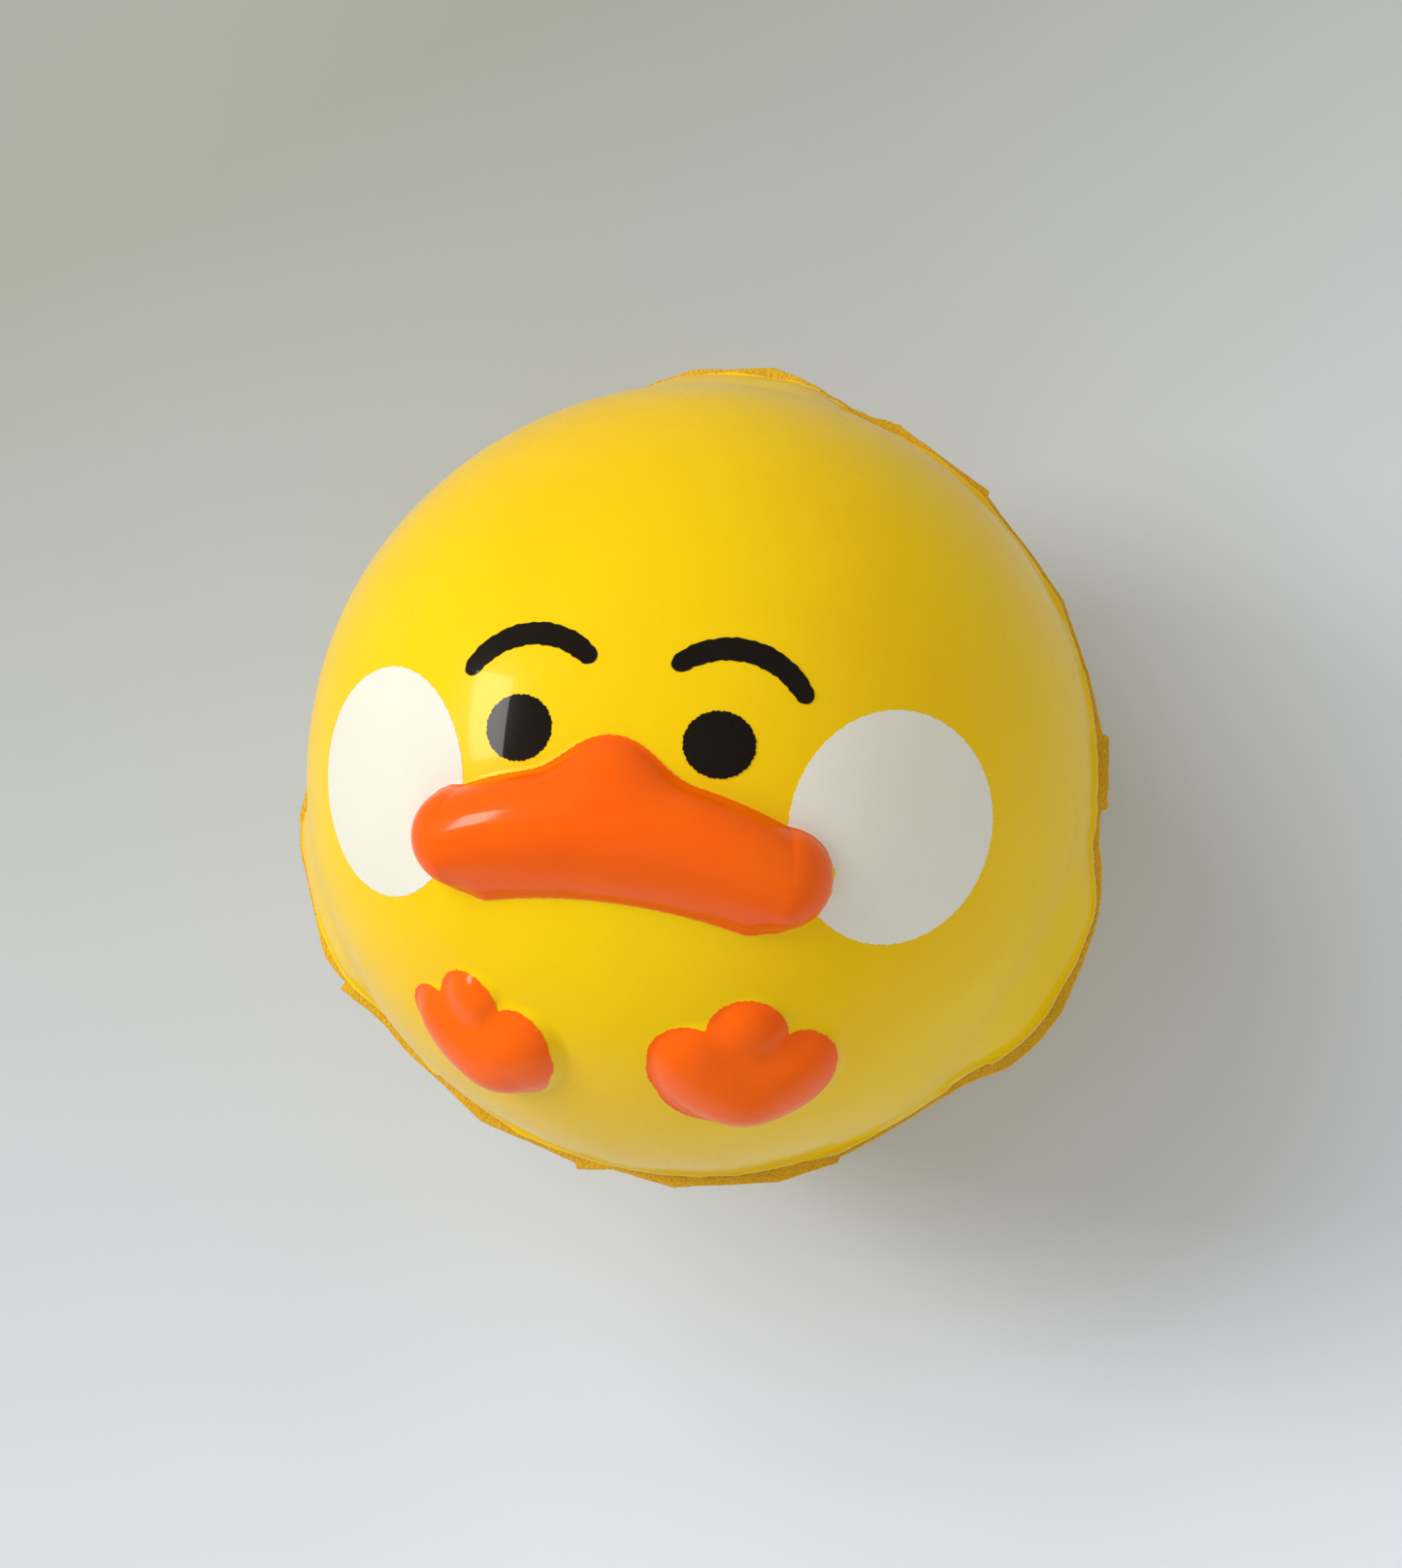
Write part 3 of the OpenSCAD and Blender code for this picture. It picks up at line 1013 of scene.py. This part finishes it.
class STRESS_BALL_OT_brow_prints(BallOperator):
    """Print a plain black arc over each eye"""

    bl_idname = "stress_ball.brow_prints"
    bl_label = "Brow printing"

    def build(self, shape, seam):
        sizes = settings("printing")
        long, wide, raggedness = 220, 13, 0.05 * MM
        half = sizes.brow_width / 2
        run = sizes.brow_spread * sizes.brow
        along = np.sin(np.linspace(-0.5, 0.5, long) * math.pi) * (run + half)
        past = np.clip((np.abs(along) - run) / half, 0, 1)
        width = half * np.sqrt(1 - past ** 2) * (1 - 0.15 * (along / run) ** 2) + 0.02 * MM
        across = np.linspace(-1, 1, wide)
        for side, name in ((LEFT, "left"), (RIGHT, "right")):
            axes = turned(axes_at(place_of(name + "_eye_print")), -side * sizes.brow_lean)
            rough = np.stack([ragged(along / sizes.brow + k, raggedness, 38) for k in (0.0, 2.0)], 1)
            rough = np.where(across[None] < 0, rough[:, :1], rough[:, 1:]) * np.abs(across)[None]
            radius = sizes.brow + across[None] * width[:, None] + rough * np.sign(across)[None]
            turn = (along / sizes.brow)[:, None]
            piece = ink_shell(
                name + "_brow_ink", shape, axes, radius * np.sin(turn), radius * np.cos(turn),
                black_material(name + "_brow_black"), closed=False)
            fixed(piece, name + "_brow_print")


# ---------------------------------------------------------------- stage

def look_from(position, target, up):
    back = Vector(unit(np.array(position) - np.array(target)))
    right = Vector(up).cross(back).normalized()
    turn = Matrix((right, back.cross(right), back)).transposed().to_4x4()
    return Matrix.Translation(Vector(position)) @ turn


def area_light(name, away, size, power, colour, mirrored=True):
    """Soft light at a place off the ball's centre; only a mirrored one shows in the gloss"""
    light = bpy.data.lights.new(name, "AREA")
    light.shape = "RECTANGLE"
    light.size, light.size_y = size
    light.energy = power
    light.color = colour
    lamp = bpy.data.objects.new(name, light)
    upright = (0, 0.1, 1)
    lamp.matrix_world = look_from(CENTRE + np.array(away), CENTRE, upright)
    lamp.visible_glossy = mirrored
    bpy.context.scene.collection.objects.link(lamp)


class STRESS_BALL_OT_stage(bpy.types.Operator):
    """Set the pale floor with its painted light and shade, the soft light and the camera"""

    bl_idname = "stress_ball.stage"
    bl_label = "Stage"

    def execute(self, context):
        stage = settings("stage")
        self.floor(stage)
        self.lights()
        self.camera(stage)
        return {"FINISHED"}

    def floor(self, stage):
        side, cells, fade = 3.0, 24, 80 * MM
        mesh = bpy.data.meshes.new("floor")
        ticks = np.linspace(-side / 2, side / 2, cells + 1)
        points = [(x, y, 0.0) for y in ticks for x in ticks]
        row = cells + 1
        faces = [
            (r * row + c, r * row + c + 1, (r + 1) * row + c + 1, (r + 1) * row + c)
            for r in range(cells) for c in range(cells)
        ]
        mesh.from_pydata(points, [], faces)
        floor = bpy.data.objects.new("floor", mesh)
        bpy.context.scene.collection.objects.link(floor)
        finish = Finish("pale_table_painted_light", Specular_IOR_Level=0.35)
        # Painted light and shade on the floor: its colour ramps from the bright, bluish near colour to the
        # darker far colour towards the far left
        along = finish.node("ShaderNodeVectorMath", operation="DOT_PRODUCT")
        finish.link(finish.place, along.inputs[0])
        towards_painted_shade = (-0.53, 0.848, 0)
        along.inputs[1].default_value = towards_painted_shade
        share = finish.spread(along.outputs["Value"], -fade, fade, 0, 1)
        tone = finish.blend(share, stage.floor[:], stage.far_floor_shade[:])
        cloudy = finish.spread(finish.noise(9, 3), 0.35, 0.65, 0, 0.12)
        finish.colour(finish.blend(cloudy, tone, stage.far_floor_shade[:]))
        finish.roughness(finish.spread(finish.noise(400, 3), 0.3, 0.7, 0.5, 0.62))
        finish.bump([(finish.noise(2500, 2), 0.02 * MM, 0.15)])
        mesh.materials.append(finish.material)

    def lights(self):
        area_light(
            "window", (-0.775, 0.11, 0.615), (0.35, 0.20), power=3.6, colour=(1.0, 0.985, 0.95))
        area_light(
            "bright_wall", (-0.60, 0.36, 0.71), (0.65, 0.65), power=5.0, colour=(0.985, 0.985, 1.0),
            mirrored=False)
        area_light(
            "side_wall", (0.80, 0.25, 0.40), (0.60, 0.40), power=0.7, colour=(1.0, 0.99, 0.95),
            mirrored=False)
        area_light(
            "far_wall", (0.04, -0.38, 0.27), (0.34, 0.20), power=0.35, colour=(0.84, 0.92, 1.0),
            mirrored=False)
        world = bpy.data.worlds.new("room")
        world.use_nodes = True
        background = world.node_tree.nodes["Background"]
        background.inputs["Color"].default_value = (1.0, 0.97, 0.86, 1)
        background.inputs["Strength"].default_value = 0.47
        bpy.context.scene.world = world
        bpy.context.scene.view_settings.view_transform = "Standard"

    def camera(self, stage):
        lens = bpy.data.cameras.new("camera")
        lens.sensor_fit = "HORIZONTAL"
        lens.sensor_width = 36
        lens.lens = stage.lens
        lens.clip_start = 0.01
        camera = bpy.data.objects.new("camera", lens)
        back = unit(np.array((
            math.sin(stage.lean_right) * math.cos(stage.lean_down),
            -math.sin(stage.lean_down),
            math.cos(stage.lean_right) * math.cos(stage.lean_down),
        )))
        right = unit(np.cross(Y, back))
        up = np.cross(back, right)
        tilt = math.cos(stage.roll) * up - math.sin(stage.roll) * right
        below_centre = 0.4 * MM
        aim = CENTRE - below_centre * tilt
        camera.matrix_world = look_from(aim + stage.distance * back, aim, tilt)
        bpy.context.scene.collection.objects.link(camera)
        bpy.context.scene.camera = camera


PIECES = (
    STRESS_BALL_OT_front_skin, STRESS_BALL_OT_rear_skin, STRESS_BALL_OT_foam_core,
    STRESS_BALL_OT_bill_print, STRESS_BALL_OT_feet_prints, STRESS_BALL_OT_cheek_prints,
    STRESS_BALL_OT_eye_prints, STRESS_BALL_OT_brow_prints, STRESS_BALL_OT_stage,
)


class STRESS_BALL_PT_panel(bpy.types.Panel):
    """Lists the ball's pieces and its stage"""

    bl_idname = "STRESS_BALL_PT_panel"
    bl_label = "Stress ball"
    bl_space_type = "VIEW_3D"
    bl_region_type = "UI"
    bl_category = "Stress ball"

    def draw(self, context):
        for piece in PIECES:
            self.layout.operator(piece.bl_idname)
        for name, group in SETTINGS.items():
            box = self.layout.box()
            box.label(text=name.capitalize())
            for key in group.__annotations__:
                box.prop(settings(name), key)


def register():
    for group in SETTINGS.values():
        bpy.utils.register_class(group)
    for name, group in SETTINGS.items():
        setattr(bpy.types.Scene, "stress_ball_" + name, PointerProperty(type=group))
    for piece in PIECES + (STRESS_BALL_PT_panel,):
        bpy.utils.register_class(piece)


def unregister():
    for piece in PIECES + (STRESS_BALL_PT_panel,):
        bpy.utils.unregister_class(piece)
    for name, group in SETTINGS.items():
        delattr(bpy.types.Scene, "stress_ball_" + name)
        bpy.utils.unregister_class(group)


def main():
    register()
    bpy.ops.stress_ball.front_skin()
    bpy.ops.stress_ball.rear_skin()
    bpy.ops.stress_ball.foam_core()
    bpy.ops.stress_ball.bill_print()
    bpy.ops.stress_ball.feet_prints()
    bpy.ops.stress_ball.cheek_prints()
    bpy.ops.stress_ball.eye_prints()
    bpy.ops.stress_ball.brow_prints()
    bpy.ops.stress_ball.stage()
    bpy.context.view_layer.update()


if __name__ == "__main__":
    main()
